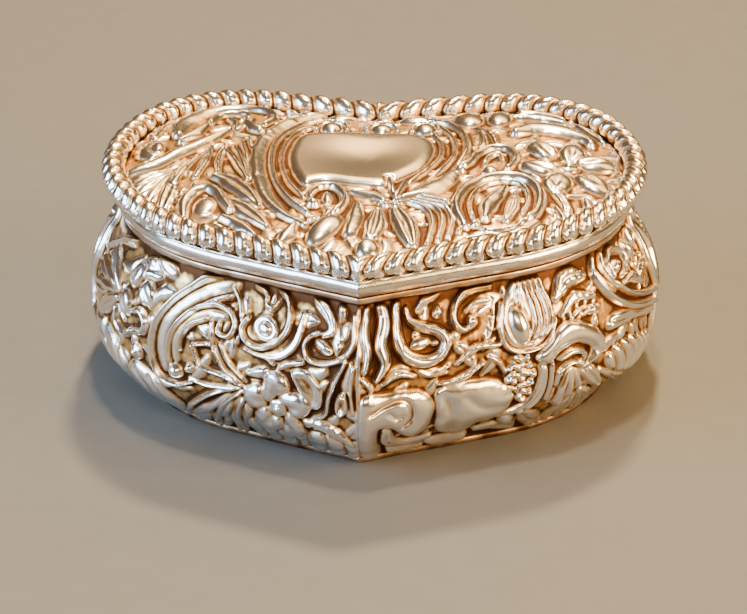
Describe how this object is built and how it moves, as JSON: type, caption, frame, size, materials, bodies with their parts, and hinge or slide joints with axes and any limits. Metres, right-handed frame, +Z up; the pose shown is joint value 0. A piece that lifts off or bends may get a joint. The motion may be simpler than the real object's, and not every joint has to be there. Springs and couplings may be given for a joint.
{
  "type": "heart-shaped trinket box",
  "caption": "Heart-shaped embossed silver trinket box with bulging sides, a twisted rope border and a lid hinged at the cleft.",
  "frame": {"origin": "on the table under the middle of the whole box", "axes": "+Z up, +X to the right across the heart's width, +Y to the cleft and the hinge, -Y to the heart's point"},
  "size_m": [0.0974, 0.079, 0.0392],
  "materials": {
    "embossed_silver": "polished silver relief with brown tarnish in the recesses",
    "rope_silver": "bright polished silver, dark between the strands",
    "plain_silver": "worn satin-polished silver with fine hairline scratches",
    "collar_silver": "smooth satin silver",
    "hinge_silver": "dull silver with tarnish in the joints"
  },
  "bodies": {
    "box": {"wall_left": "embossed_silver", "wall_right": "embossed_silver", "base_plate": "plain_silver", "mouth_rim": "plain_silver", "mouth_collar": "collar_silver", "body_hinge_leaf": "hinge_silver", "body_knuckles": "hinge_silver", "hinge_pin": "hinge_silver"},
    "lid": {"lid_panel": "embossed_silver", "lid_band": "plain_silver", "rope_left": "rope_silver", "rope_right": "rope_silver", "lid_hinge_leaf": "hinge_silver", "lid_knuckle": "hinge_silver"}
  },
  "joints": [
    {"name": "lid_hinge", "type": "hinge", "parent": "box", "child": "lid", "pos_m": [0, 0.0365, 0.0311], "axis": [-1, 0, 0], "range_deg": [0, 100]}
  ]
}
